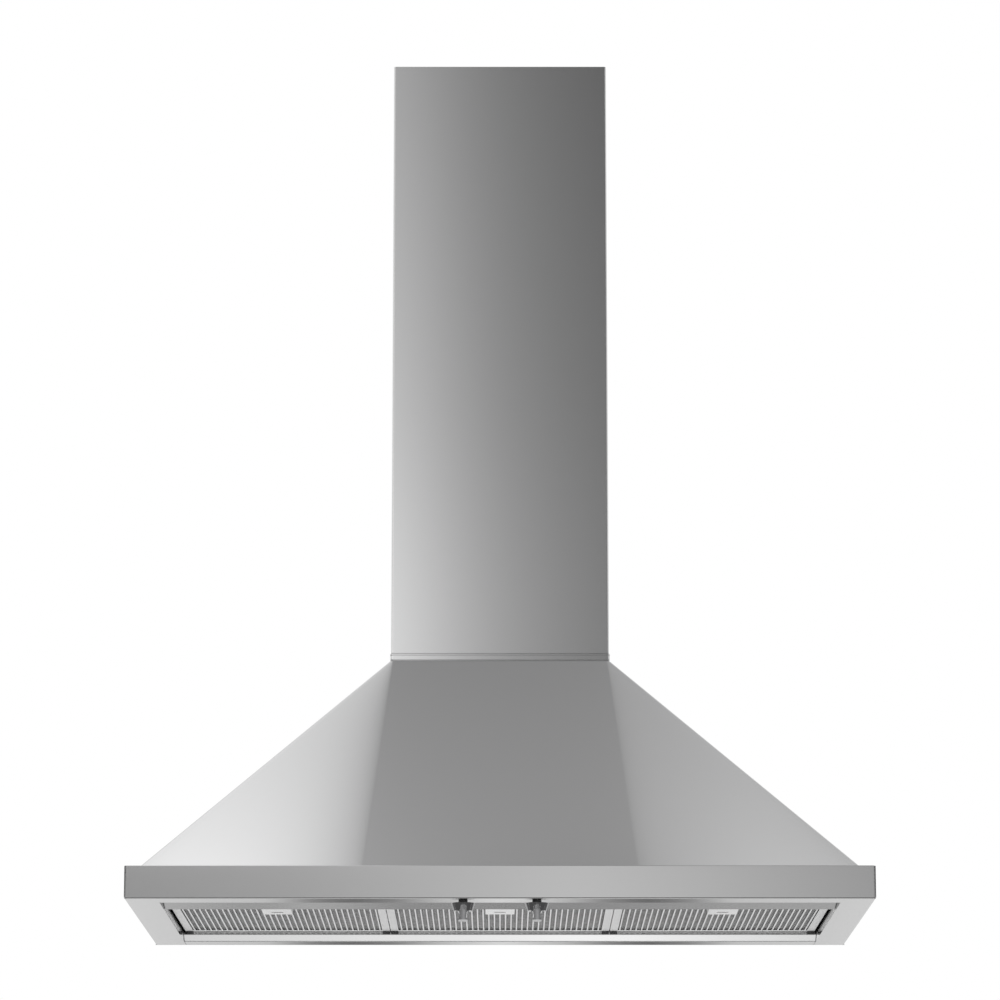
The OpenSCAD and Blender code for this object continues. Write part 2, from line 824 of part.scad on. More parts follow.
// Half of the case between two distances from the wall, with its inlet in the far wall
module case_half(joint, far) {
    way = sign(far - joint);
    wall = far - way * case_t;
    lug_t = 2;
    reach = 2 * scroll_end_r;
    color("darkgray")
        difference() {
            union() {
                between_y(joint, far)
                    polygon(scroll(case_t, plate_z));
                between_y(joint, joint + way * lug_t)
                    intersection() {
                        polygon(scroll(case_flange, plate_z));
                        translate([blower_x - reach, blower_z - reach])
                            square([2 * reach, reach + scroll_end_r / 2]);
                    }
                between_y(joint, far + way * case_flange)
                    translate([outlet_left - case_flange, plate_z - lug_t])
                        square([outlet_w + 2 * case_flange, lug_t]);
                translate([blower_x, 0, blower_z])
                    between_y(wall, far + way * inlet_rim)
                        circle(d = inlet_dia + 2 * case_t);
            }
            between_y(joint - way, wall)
                polygon(scroll(0, plate_z + cut));
            translate([blower_x, 0, blower_z])
                between_y(joint, far + way * (inlet_rim + cut))
                    circle(d = inlet_dia);
        }
}

// Extrudes an outline in X and Z from one distance from the wall to another
module between_y(a, b) {
    translate([0, -min(a, b), 0])
        rotate([90, 0, 0])
            linear_extrude(height = abs(b - a))
                children();
}

// Impeller with forward-curved blades on both sides of its disc
module impeller() {
    r = impeller_dia / 2;
    half = impeller_l / 2;
    disc_t = 2;
    hub_l = 14;
    color("dimgray")
        translate([blower_x, 0, blower_z]) {
            between_y(blower_y - disc_t / 2, blower_y + disc_t / 2)
                difference() {
                    circle(r = r);
                    circle(d = motor_shaft_dia);
                }
            between_y(blower_y - disc_t / 2, blower_y + hub_l)
                difference() {
                    circle(d = hub_dia);
                    circle(d = motor_shaft_dia);
                }
            for (s = [-1, 1])
                between_y(blower_y + s * half, blower_y + s * (half - disc_t))
                    difference() {
                        circle(r = r);
                        circle(r = r - blade_depth + 2);
                    }
            between_y(blower_y - half + disc_t / 2, blower_y + half - disc_t / 2)
                for (i = [0:blade_count - 1])
                    rotate(i * 360 / blade_count)
                        blade(r);
        }
}

// Section of one curved blade
module blade(r) {
    steps = 4;
    chord = blade_depth - 0.5;
    sweep = 3.4;
    curve = [for (i = [0:steps])
        let (u = i / steps)
        [r - blade_depth + chord * u, sweep * sin(90 * u)]];
    polygon(folded(curve, blade_t));
}

module motor_shaft() {
    front = 18;
    in_motor = 16;
    color("silver")
        translate([blower_x, 0, blower_z])
            along_y(blower_y + front, front + in_motor, motor_shaft_dia / 2);
}

// Motor with a bell at each end, a boss round its shaft and slots between the bell's ribs
module motor() {
    r = motor_dia / 2;
    boss_l = 4;
    boss_r = 11;
    rib_t = 4;
    shaft_depth = 12;
    color("slategray")
        translate([blower_x, 0, blower_z])
            difference() {
                union() {
                    along_y(motor_front, motor_l, bell_r);
                    along_y(motor_front - bell_l, motor_l - 2 * bell_l, r);
                    along_y(motor_front + boss_l, boss_l + cut, boss_r);
                    for (a = [0:30:330])
                        rotate([0, a, 0])
                            translate([bell_r - rib_t, -motor_rear - bell_l, -rib_t / 2])
                                cube([rib_t + 2, bell_l, rib_t]);
                }
                along_y(motor_front + boss_l + cut, boss_l + shaft_depth + cut,
                    motor_shaft_dia / 2 + fit_gap);
            }
}

// Ring and three arms that hold the motor in the rear inlet
module motor_bracket() {
    t = 2;
    color("gainsboro")
        translate([blower_x, 0, blower_z])
            difference() {
                union() {
                    between_y(motor_rear, motor_rear - t)
                        circle(r = bell_r);
                    for (a = [90, 210, 330]) {
                        between_y(motor_rear, motor_rear - t)
                            rotate(a)
                                translate([bell_r / 2, -arm_w / 2])
                                    square([arm_r - bell_r / 2 + arm_foot, arm_w]);
                        between_y(case_rear, motor_rear - t)
                            rotate(a)
                                translate([arm_r, -arm_w / 2])
                                    square([arm_foot, arm_w]);
                    }
                }
                between_y(motor_rear + cut, motor_rear - t - cut)
                    circle(r = 2 * motor_shaft_dia);
            }
}

module capacitor() {
    r = capacitor_dia / 2;
    color("white")
        translate([box_x + box_w / 4, -back_t - r, box_z + box_h + r])
            rotate([0, 90, 0])
                cylinder(h = box_w / 2, r = r);
}

module terminal_box() {
    t = box_t;
    color("whitesmoke")
        translate([box_x, -back_t - box_d, box_z])
            difference() {
                cube([box_w, box_d, box_h]);
                translate([t, -cut, t])
                    cube([box_w - 2 * t, box_d - t + cut, box_h - 2 * t]);
            }
}

// Lid with a rim that fits into the box
module terminal_lid() {
    t = box_t;
    in = t + run_gap;
    rim = 3;
    color("white")
        translate([box_x, -back_t - box_d - t, box_z])
            difference() {
                union() {
                    cube([box_w, t, box_h]);
                    translate([in, 0, in])
                        cube([box_w - 2 * in, t + rim, box_h - 2 * in]);
                }
                translate([2 * t, t, 2 * t])
                    cube([box_w - 4 * t, rim + cut, box_h - 4 * t]);
            }
}

// Gland in the top plate, with a nut on each side
module cable_gland() {
    nut_h = 5;
    neck = 16;
    color("dimgray")
        translate([gland_x, -gland_y, plate_z])
            difference() {
                union() {
                    translate([0, 0, -nut_h])
                        cylinder(h = nut_h, r = gland_nut_r, $fn = 6);
                    cylinder(h = plate_t + neck, r = gland_r);
                    translate([0, 0, plate_t])
                        cylinder(h = nut_h + 1, r = gland_nut_r, $fn = 6);
                }
                translate([0, 0, -nut_h - cut])
                    cylinder(h = nut_h + plate_t + neck + 2 * cut, d = gland_bore);
            }
}

module outlet_spigot() {
    base = spigot_dia + 18;
    color("gainsboro")
        translate([0, -blower_y, canopy_top])
            difference() {
                union() {
                    translate([-base / 2, -base / 2, 0])
                        cube([base, base, plate_t]);
                    cylinder(h = spigot_h, d = spigot_dia);
                    cylinder(h = plate_t + 2, d = spigot_dia + 4);
                }
                translate([0, 0, -cut])
                    cylinder(h = spigot_h + 2 * cut, r = spigot_in - seat_in);
                translate([0, 0, flap_z - canopy_top - run_gap])
                    cylinder(h = spigot_h, r = spigot_in);
                translate([0, 0, axle_h])
                    rotate([0, 90, 0])
                        cylinder(h = spigot_dia + 2, d = axle_dia + 2 * fit_gap,
                            center = true);
            }
}

module damper_axle() {
    color("silver")
        translate([0, -blower_y, axle_z])
            rotate([0, 90, 0])
                cylinder(h = spigot_dia - 2 * fit_gap, d = axle_dia, center = true);
}

// Half-round flap: way is -1 towards the front and 1 towards the wall
module damper(way) {
    r = spigot_in - 0.7;
    edge = 1;
    leaf = 4;
    first = way > 0 ? 0 : 1;
    color("lightgray")
        translate([0, -blower_y, 0])
            difference() {
                union() {
                    translate([0, 0, flap_z])
                        linear_extrude(height = flap_t)
                            difference() {
                                intersection() {
                                    circle(r = r);
                                    translate([-r, way > 0 ? edge : -edge - r])
                                        square([2 * r, r]);
                                }
                                for (k = [0:3])
                                    if (k % 2 != first)
                                        translate([knuckle_x(k) - knuckle_l / 2 - edge, -leaf - edge])
                                            square([knuckle_l + 2 * edge, 2 * (leaf + edge)]);
                            }
                    for (k = [0:3])
                        if (k % 2 == first)
                            translate([knuckle_x(k) - knuckle_l / 2, 0, axle_z]) {
                                rotate([0, 90, 0])
                                    cylinder(h = knuckle_l, r = knuckle_r);
                                translate([0, way > 0 ? 0 : -leaf, flap_z - axle_z])
                                    cube([knuckle_l, leaf, flap_t]);
                            }
                }
                translate([-r, 0, axle_z])
                    rotate([0, 90, 0])
                        cylinder(h = 2 * r, d = axle_dia + 2 * fit_gap);
            }
}
function knuckle_x(k) = (k - 1.5) * knuckle_pitch;

// Pan-head screw pointing along +Z from its seat at Z = 0
module screw(l, d) {
    translate([0, 0, -d * 0.55])
        cylinder(h = d * 0.55, d = 2 * d);
    cylinder(h = l, d = d);
}

module case_screws() {
    color("gray")
        for (a = [-20, -75, -130])
            translate([blower_x, 0, blower_z])
                rotate([0, -a, 0])
                    translate([case_screw_r(a), -blower_y - 2, 0])
                        rotate([-90, 0, 0])
                            screw(screw_dia, screw_dia);
}
function case_screw_r(a) =
    let (k = (scroll_start - a) / (scroll_start + 180))
    scroll_r + (scroll_end_r - scroll_r) * k + case_flange / 2;

module bracket_screws() {
    color("gray")
        for (a = [90, 210, 330])
            translate([blower_x, 0, blower_z])
                rotate([0, -a, 0])
                    translate([arm_r + arm_foot / 2, -motor_rear + 2, 0])
                        rotate([90, 0, 0])
                            screw(screw_dia / 2, screw_dia);
}

module plate_screws() {
    r = spigot_dia / 2 + 3;
    color("gray")
        for (x = [-1, 1])
            for (y = [-1, 1])
                translate([x * r, -blower_y + y * r, canopy_top + plate_t])
                    mirror([0, 0, 1])
                        screw(screw_dia / 2, screw_dia);
}

module chimney_screws() {
    color("gray")
        for (x = [-1, 1])
            translate([x * chimney_w / 2, -20, chimney_z + upstand_h / 2])
                rotate([0, -x * 90, 0])
                    screw(3, screw_dia);
}

fascia_frame();
canopy_shell();
back_panel();
top_plate();
chimney_collar();
lower_chimney();
upper_chimney();
ceiling_bracket();
lamp_strip();
rear_trim();
lamp(-1);  // lamp_left
lamp(1);  // lamp_right
lens(-1);  // lens_left
lens(1);  // lens_right
switch_body(1);  // fan_switch
switch_body(-1);  // light_switch
switch_shaft(1);  // fan_shaft
switch_shaft(-1);  // light_shaft
knob(1);  // fan_knob
knob(-1);  // light_knob
for (i = [0:2]) {
    filter_rim(i);
    filter_grille(i);
    filter_mesh(i);
    filter_feet(i);
    latch(i);
}
case_half(blower_y, case_front);  // blower_case_front
case_half(blower_y, case_rear);  // blower_case_rear
impeller();
motor_shaft();
motor();
motor_bracket();
capacitor();
terminal_box();
terminal_lid();
cable_gland();
outlet_spigot();
damper_axle();
damper(-1);  // damper_front
damper(1);  // damper_rear
case_screws();
bracket_screws();
plate_screws();
chimney_screws();
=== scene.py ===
import json
import math

import bmesh
import bpy
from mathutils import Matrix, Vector

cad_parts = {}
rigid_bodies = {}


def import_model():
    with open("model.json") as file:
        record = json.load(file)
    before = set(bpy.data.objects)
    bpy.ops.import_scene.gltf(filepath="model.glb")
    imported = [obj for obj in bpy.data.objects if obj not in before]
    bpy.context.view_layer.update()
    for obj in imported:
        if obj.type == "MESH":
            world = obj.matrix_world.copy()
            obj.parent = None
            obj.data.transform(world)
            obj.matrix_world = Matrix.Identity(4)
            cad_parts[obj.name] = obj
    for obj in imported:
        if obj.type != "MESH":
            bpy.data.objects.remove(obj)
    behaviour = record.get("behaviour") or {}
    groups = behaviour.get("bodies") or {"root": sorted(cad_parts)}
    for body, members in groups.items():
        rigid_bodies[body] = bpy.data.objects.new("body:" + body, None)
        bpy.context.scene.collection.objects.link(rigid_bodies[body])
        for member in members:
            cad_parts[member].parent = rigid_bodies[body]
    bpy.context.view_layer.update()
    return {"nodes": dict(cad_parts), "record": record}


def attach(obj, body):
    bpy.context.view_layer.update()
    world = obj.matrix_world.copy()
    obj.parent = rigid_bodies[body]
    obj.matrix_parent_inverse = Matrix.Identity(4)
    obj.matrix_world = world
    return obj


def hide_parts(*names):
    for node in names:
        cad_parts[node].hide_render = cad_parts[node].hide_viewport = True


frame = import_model()
scene = bpy.context.scene
MM = 0.001
SIDES = ("left", "middle", "right")
BODY = {node: body for body, nodes in frame["record"]["behaviour"]["bodies"].items() for node in nodes}
SLOT = {part["node"]: part["material_slot"] for part in frame["record"]["subparts"]}


def made(bm, name):
    """Mesh of a bmesh, which is freed."""
    mesh = bpy.data.meshes.new(name)
    bm.to_mesh(mesh)
    bm.free()
    return mesh


def added(name, data):
    """Object with the given data, in the scene."""
    ob = bpy.data.objects.new(name, data)
    scene.collection.objects.link(ob)
    return ob


# Finishes

class Finish:
    """A material with its Principled shader, built up node by node."""

    def __init__(self, name, color, metallic=0.0, roughness=0.5, **sockets):
        self.material = bpy.data.materials.new(name)
        self.material.use_nodes = True
        self.tree = self.material.node_tree
        self.shader = self.tree.nodes["Principled BSDF"]
        self.color = color
        self.set("Base Color", (*color, 1))
        self.set("Metallic", metallic)
        self.set("Roughness", roughness)
        for socket, value in sockets.items():
            self.set(socket.replace("_", " "), value)

    def set(self, socket, value):
        self.shader.inputs[socket].default_value = value

    def add(self, kind, **settings):
        """New shader node. A setting is one of its properties or one of its sockets."""
        node = self.tree.nodes.new("ShaderNode" + kind)
        for name, value in settings.items():
            if hasattr(node, name):
                setattr(node, name, value)
            else:
                node.inputs[name.replace("_", " ")].default_value = value
        return node

    def link(self, output, socket):
        self.tree.links.new(output, socket)

    def place(self, scale):
        """Object coordinates times a scale."""
        coord = self.add("TexCoord")
        mapping = self.add("Mapping", Scale=scale)
        self.link(coord.outputs["Object"], mapping.inputs["Vector"])
        return mapping.outputs["Vector"]

    def noise(self, scale, detail):
        node = self.add("TexNoise", Scale=1.0, Detail=detail, Roughness=0.6)
        self.link(self.place(scale), node.inputs["Vector"])
        return node.outputs["Fac"]

    def between(self, factor, low, high, start=0.3, stop=0.7):
        """Value that goes from low to high as the factor goes from start to stop."""
        node = self.add("MapRange", From_Min=start, From_Max=stop, To_Min=low, To_Max=high)
        self.link(factor, node.inputs["Value"])
        return node.outputs["Result"]

    def shade(self, factor, low, high, start=0.3, stop=0.7):
        """Base colour between two multiples of the finish's own colour."""
        mix = self.add("Mix", data_type="RGBA")
        # The colour sockets go by number: floats and vectors have the same names
        for socket, level in zip(mix.inputs[6:8], (low, high)):
            socket.default_value = (*[c * level for c in self.color], 1)
        self.link(self.between(factor, 0, 1, start, stop), mix.inputs["Factor"])
        self.link(mix.outputs[2], self.shader.inputs["Base Color"])

    def vary(self, factor, spread, start=0.3, stop=0.7):
        """Roughness that strays from its own value by up to a spread."""
        socket = self.shader.inputs["Roughness"]
        middle = socket.default_value
        self.link(self.between(factor, middle - spread, middle + spread, start, stop), socket)

    def bump(self, height, strength, distance):
        node = self.add("Bump", Strength=strength, Distance=distance)
        self.link(height, node.inputs["Height"])
        self.link(node.outputs["Normal"], self.shader.inputs["Normal"])


UPRIGHT, ACROSS, ROUND = (4500, 4500, 60), (60, 4500, 4500), (40, 40, 1500)  # scales of three kinds of brush line
CRYSTALS = 140  # zinc crystals along a metre


def brushed(name, color, roughness, scale):
    """Satin steel with brush lines too fine to see from afar: the scale is small along them."""
    steel = Finish(name, color, 1.0, roughness)
    lines = steel.noise(scale, detail=2.0)
    steel.shade(lines, low=0.985, high=1.015)
    steel.vary(lines, spread=0.02)
    steel.bump(lines, strength=0.03, distance=0.01 * MM)
    return steel.material


def zinc_sheet(name, color, roughness):
    """Zinc coated sheet with its faint crystal pattern."""
    zinc = Finish(name, color, 0.85, roughness)
    crystals = zinc.add("TexVoronoi", Scale=1.0)
    zinc.link(zinc.place((CRYSTALS,) * 3), crystals.inputs["Vector"])
    split = zinc.add("SeparateColor")
    zinc.link(crystals.outputs["Color"], split.inputs["Color"])
    zinc.shade(split.outputs[0], low=0.86, high=1.08, start=0, stop=1)
    zinc.vary(split.outputs[1], spread=0.08, start=0, stop=1)
    return zinc.material


def grained(name, color, metallic, roughness, scale, strength=0.2, low=0.92, high=1.06, **sockets):
    """A cast, moulded or rolled surface with an even grain and a cloudy tone twelve times coarser."""
    finish = Finish(name, color, metallic, roughness, **sockets)
    grain = finish.noise((scale,) * 3, detail=4.0)
    cloud = finish.noise((scale / 12,) * 3, detail=2.0)
    finish.shade(cloud, low, high)
    finish.vary(grain, spread=0.04)
    finish.bump(grain, strength, distance=0.03 * MM)
    return finish.material


FINISH = {
    "steel_outer": brushed("canopy_steel", (0.60, 0.60, 0.602), 0.19, UPRIGHT),
    "steel_chimney": brushed("chimney_steel", (0.60, 0.60, 0.602), 0.24, UPRIGHT),
    "steel_fascia": brushed("fascia_steel", (0.60, 0.60, 0.60), 0.15, ACROSS),
    "steel_strip": brushed("strip_steel", (0.60, 0.60, 0.60), 0.15, ACROSS),
    "galvanised": zinc_sheet("zinc_coated_sheet", (0.55, 0.57, 0.58), 0.42),
    "filter_rim": grained("mill_aluminium", (0.86, 0.86, 0.86), 0.5, 0.45, 1500, low=0.97, high=1.02),
    "filter_grille": grained("bright_aluminium", (0.95, 0.95, 0.95), 0.2, 0.38, 1500, low=0.98, high=1.02),
    "filter_mesh": grained("knitted_wire", (0.5, 0.5, 0.5), 0.75, 0.45, 1500, low=0.7, high=1.2),
    "filter_foot": grained("black_foot_plastic", (0.045, 0.045, 0.046), 0.0, 0.5, 1200),
    "latch": grained("white_plated_latch", (0.96, 0.96, 0.96), 0.15, 0.3, 1500, low=0.99, high=1.01),
    "knob": grained("dark_satin_chrome", (0.34, 0.34, 0.345), 1.0, 0.12, 2500, strength=0.03),
    "switch_body": grained("black_switch_plastic", (0.03, 0.03, 0.03), 0.0, 0.45, 1000),
    "shaft": brushed("turned_steel", (0.56, 0.56, 0.56), 0.24, ROUND),
    "lamp_body": grained("satin_aluminium", (0.75, 0.75, 0.75), 1.0, 0.35, 900),
    "lamp_lens": grained("frosted_glass", (0.93, 0.93, 0.90), 0.0, 0.35, 500, IOR=1.5, Transmission_Weight=0.7),
    "blower_case": zinc_sheet("zinc_coated_case", (0.50, 0.52, 0.53), 0.38),
    "impeller": grained("black_impeller_plastic", (0.035, 0.035, 0.038), 0.0, 0.5, 900),
    "motor": grained("motor_paint", (0.10, 0.105, 0.115), 0.3, 0.42, 600),
    "capacitor": grained("white_can", (0.80, 0.80, 0.77), 0.0, 0.3, 500),
    "terminal_box": grained("light_grey_plastic", (0.62, 0.62, 0.60), 0.0, 0.5, 900),
    "gland": grained("black_gland_plastic", (0.03, 0.03, 0.03), 0.0, 0.5, 1100),
    "flap": grained("flap_aluminium", (0.68, 0.68, 0.68), 1.0, 0.36, 700),
    "screws": grained("zinc_plated_screw", (0.58, 0.58, 0.56), 1.0, 0.3, 1500),
}
for node, ob in frame["nodes"].items():
    for place in ob.material_slots:
        place.material = FINISH[SLOT[node]]


# Pieces

def piece(name, mesh, body, slot, *nodes):
    """A finished mesh as a piece that rides on a body and stands for some nodes."""
    ob = added(name, mesh)
    mesh.materials.clear()
    mesh.materials.append(FINISH[slot])
    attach(ob, body)
    if nodes:
        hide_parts(*nodes)


def settled(ob, name):
    """Plain mesh of an object with its modifiers applied. The object goes."""
    shown = ob.evaluated_get(bpy.context.evaluated_depsgraph_get())
    mesh = bpy.data.meshes.new_from_object(shown)
    mesh.name = name
    bpy.data.objects.remove(ob)
    return mesh


def smooth(mesh, angle=35):
    """Smooth shading that stays sharp over folds and keeps flat sheet flat beside its bends."""
    for face in mesh.polygons:
        face.use_smooth = True
    mesh.set_sharp_from_angle(angle=math.radians(angle))
    ob = added(mesh.name, mesh)
    ob.modifiers.new("flat_sheet", "WEIGHTED_NORMAL").keep_sharp = True
    return settled(ob, mesh.name)


FLAT_TURN = math.radians(0.5)  # faces that turn by less are one
LEAST_BEND, LEAST_EDGE = math.radians(20), math.radians(29)  # least turns of a wide bend and of a rounded edge
BEND_SEGMENTS = 5


def dressed(node, name, width=0.3, segments=2, bend=None):
    """Copy of a sheet or solid whose edges are rounded to a width in mm.

    Bend takes an edge's two ends in mm and gives the width of its wide bend, or 0 where it has none.
    """
    mesh = frame["nodes"][node].data.copy()
    bm = bmesh.new()
    bm.from_mesh(mesh)
    bmesh.ops.remove_doubles(bm, verts=bm.verts, dist=0.01 * MM)
    bmesh.ops.dissolve_limit(bm, angle_limit=FLAT_TURN, verts=bm.verts, edges=bm.edges)
    weight = bm.edges.layers.float.new("bevel_weight_edge")
    wide = {}
    for edge in bm.edges:
        if bend and edge.is_manifold and edge.calc_face_angle(0) > LEAST_BEND:
            own = bend(*[v.co / MM for v in edge.verts])
            if own:
                wide[edge] = own
    widest = max(wide.values(), default=0)
    for edge, own in wide.items():
        edge[weight] = own / widest
    bm.to_mesh(mesh)
    bm.free()
    ob = added(name, mesh)
    if wide:
        rolled = ob.modifiers.new("rolled_bends", "BEVEL")
        rolled.width = widest * MM
        rolled.segments = BEND_SEGMENTS
        rolled.limit_method = "WEIGHT"
        rolled.use_clamp_overlap = False
    rounded = ob.modifiers.new("rounded_edges", "BEVEL")
    rounded.width = width * MM
    rounded.segments = segments
    rounded.limit_method = "ANGLE"
    rounded.angle_limit = LEAST_EDGE
    rounded.use_clamp_overlap = True
    piece(name, smooth(settled(ob, name)), BODY[node], SLOT[node], node)


# Canopy: the CAD model's two rings, drawn in finer steps. Sizes are in mm, as in the CAD model

HOOD_W, HOOD_D = 900, 500  # across the fascia, and from the wall to its face
FASCIA_H, CANOPY_H = 40, 288
CHIMNEY_W, CHIMNEY_D = 275, 280
SHEET, BACK = 1, 1.2  # thickness of the outer sheet and of the back panel
CORNER_R, EDGE_R, LEAST_R = 3, 3, 0.8  # fascia's front corners, canopy's outer edges and the least radius inside them
CORNER_BACK = 0.1  # how far the foot's corner is set back from the bow's end, as part of its radius
FOOT_HALF, FOOT_FRONT = 440, 497  # half width and depth of the canopy's foot
SWEEP, FLAT, POWER = 40, 330, 1.4  # how far the bow sweeps back, width of its flat middle, power of its curve
BOW_STEPS, BEND_STEPS, ROWS = 36, 6, 10


def around(centre, radius, degrees):
    """Point on a circle."""
    return centre[0] + radius * math.cos(math.radians(degrees)), centre[1] + radius * math.sin(math.radians(degrees))


def arc(centre, radius, first, last):
    """Points of a bend from one angle to another."""
    return [around(centre, radius, first + (last - first) * i / BEND_STEPS) for i in range(BEND_STEPS + 1)]


def bow_angle(half):
    """Slope of the bow's end in degrees."""
    return math.degrees(math.atan(POWER * SWEEP / (half - FLAT / 2)))


def both_sides(half):
    """The right half of a ring and its mirror image."""
    return half + [(-x, y) for x, y in reversed(half)]


def foot_ring(in_x, in_y):
    """Plan of the foot, drawn in by the sheet's thickness: wall, corner bend, bow, and the same mirrored."""
    half, front, radius = FOOT_HALF - in_x, FOOT_FRONT - in_y, max(EDGE_R - in_x, LEAST_R)
    sweep = bow_angle(half)
    centre = (half - radius, -front + SWEEP + radius * math.tan(math.radians(45 - sweep / 2)) + radius * CORNER_BACK)
    ring = [(half, -BACK)] + arc(centre, radius, 0, sweep - 90)
    for i in range(BOW_STEPS - 1, -1, -1):
        u = (i / BOW_STEPS) ** 2
        ring.append((FLAT / 2 + u * (half - FLAT / 2), -front + SWEEP * u ** POWER))
    return both_sides(ring)


def top_ring(in_x, in_y):
    """Plan of the top, with as many points: the bow has shrunk into the corner bend."""
    half, front, radius = CHIMNEY_W / 2 - in_x, CHIMNEY_D - in_y, max(EDGE_R - in_x, LEAST_R)
    centre = (half - radius, -front + radius)
    sweep = bow_angle(FOOT_HALF)
    ring = [(half, -BACK)] + arc(centre, radius, 0, sweep - 90)
    ring += [around(centre, radius, sweep - 90 - sweep * (1 - i / BOW_STEPS)) for i in range(BOW_STEPS - 1, -1, -1)]
    return both_sides(ring)


def canopy():
    """Shell between the rings, one row of faces above another, closed at its rims and wall ends."""
    in_x, in_y = (SHEET * math.hypot(run, CANOPY_H) / CANOPY_H
                  for run in (FOOT_HALF - CHIMNEY_W / 2, FOOT_FRONT - CHIMNEY_D))
    bm = bmesh.new()
    walls = []
    for inset in ((0, 0), (in_x, in_y)):
        pairs = list(zip(foot_ring(*inset), top_ring(*inset)))
        walls.append([[bm.verts.new(Vector((a[0] + (b[0] - a[0]) * t, a[1] + (b[1] - a[1]) * t,
                                            FASCIA_H + CANOPY_H * t)) * MM) for a, b in pairs]
                      for t in (r / ROWS for r in range(ROWS + 1))])
    outer, inner = walls
    columns = range(len(outer[0]) - 1)
    for r in range(ROWS):
        for i in columns:
            bm.faces.new((outer[r][i], outer[r + 1][i], outer[r + 1][i + 1], outer[r][i + 1]))
            bm.faces.new((inner[r][i], inner[r][i + 1], inner[r + 1][i + 1], inner[r + 1][i]))
        for i in (0, -1):
            bm.faces.new((outer[r][i], inner[r][i], inner[r + 1][i], outer[r + 1][i]))
    for r in (0, ROWS):
        for i in columns:
            bm.faces.new((outer[r][i], outer[r][i + 1], inner[r][i + 1], inner[r][i]))
    bmesh.ops.remove_doubles(bm, verts=bm.verts, dist=0.002 * MM)
    bmesh.ops.recalc_face_normals(bm, faces=bm.faces)
    piece("canopy", smooth(made(bm, "canopy"), angle=30), "hood", "steel_outer", "canopy_shell")


canopy()


# Folded sheet. Sizes are in mm

NEAR = 0.1  # distance that still counts as being at an edge
LIP_BEND, LEDGE_BEND, RAIL_BEND = 2.0, 0.6, 2.2  # widths of the wide bends
FLANGE = 30  # distance from the wall within which the rear rail has its flange only


def fascia_bends(a, b):
    """The fascia's folds: along its outer lower and upper edges, round the front corners too."""
    for v in (a, b):
        past_side, past_front = abs(v.x) - HOOD_W / 2 + CORNER_R, -v.y - HOOD_D + CORNER_R
        if math.hypot(max(past_side, 0), max(past_front, 0)) < CORNER_R - NEAR:
            return 0
    if max(a.z, b.z) < NEAR:
        return LIP_BEND
    return LEDGE_BEND if min(a.z, b.z) > FASCIA_H - NEAR else 0


def rail_bends(a, b):
    """The soft fold between the rear rail's slanted face and its flange."""
    whole_length = abs(a.x - b.x) > HOOD_W / 2
    return RAIL_BEND if whole_length and max(a.z, b.z) < NEAR and max(a.y, b.y) < -FLANGE else 0


dressed("fascia_frame", "fascia", segments=3, bend=fascia_bends)
dressed("chimney_collar", "collar", width=0.25)
dressed("lower_chimney", "chimney")
dressed("upper_chimney", "inner_chimney")
dressed("lamp_strip", "strip", width=0.35)
dressed("rear_trim", "rear_rail", bend=rail_bends)
for side in SIDES:
    dressed(f"filter_rim_{side}", f"filter_frame_{side}", width=0.4)
    dressed(f"latch_{side}", f"latch_plate_{side}", width=0.9, segments=3)
for which in ("fan", "light"):
    dressed(f"{which}_knob", f"{which}_turning_knob", width=1.0, segments=4)


# Latches' slots, each darkened by a band of painted shade, with the filters' sizes in mm

FILTER_PITCH, FILTER_W, FILTER_MID_W = 274.65, 264.9, 282.4
FILTER_FRONT, FILTER_REAR, FILTER_Z, RIM = 369.0, 55.0, 11.4, 10.0
FILTER_MIDDLE, FILTER_LENGTH = -(FILTER_FRONT + FILTER_REAR) / 2, FILTER_FRONT - FILTER_REAR
CASSETTES = [(side, (number - 1) * FILTER_PITCH, FILTER_MID_W if side == "middle" else FILTER_W)
             for number, side in enumerate(SIDES)]
SLOT_W, SLOT_L, SLOT_Y, SLOT_LOW, SLOT_TOP = 16, 8, -330.0, 4.0, 8.6
# How far the painted shade band's outer and inner faces stand in from the slot's wall, and its points round the slot
SHADE_OUT, SHADE_IN, SHADE_POINTS = 0.02, 0.35, 24


def painted_slot_shade(name, x, body):
    """Thin dark band round the inside of a latch's finger slot: painted shade that stands for the shadow on the slot's
    walls.
    """
    bm = bmesh.new()
    rounds = []
    for inset, z in ((SHADE_OUT, SLOT_LOW), (SHADE_IN, SLOT_LOW), (SHADE_IN, SLOT_TOP), (SHADE_OUT, SLOT_TOP)):
        ring = []
        for i in range(SHADE_POINTS):
            a = 2 * math.pi * (i + 0.5) / SHADE_POINTS
            r = SLOT_L / 2 - inset
            centre = math.copysign((SLOT_W - SLOT_L) / 2, math.cos(a))
            ring.append(bm.verts.new(Vector((x + centre + r * math.cos(a), SLOT_Y + r * math.sin(a), z)) * MM))
        rounds.append(ring)
    for lower, upper in zip(rounds, rounds[1:] + rounds[:1]):
        for i in range(SHADE_POINTS):
            j = (i + 1) % SHADE_POINTS
            bm.faces.new((lower[i], lower[j], upper[j], upper[i]))
    bmesh.ops.recalc_face_normals(bm, faces=bm.faces)
    piece(name, smooth(made(bm, name)), body, "filter_foot")


# Each latch gets a black band in its slot as painted shade, where the real slot is only in shadow
for side, x, _ in CASSETTES:
    painted_slot_shade(f"painted_slot_shade_{side}", x, f"latch_{side}")


# Repeats grown with Geometry Nodes

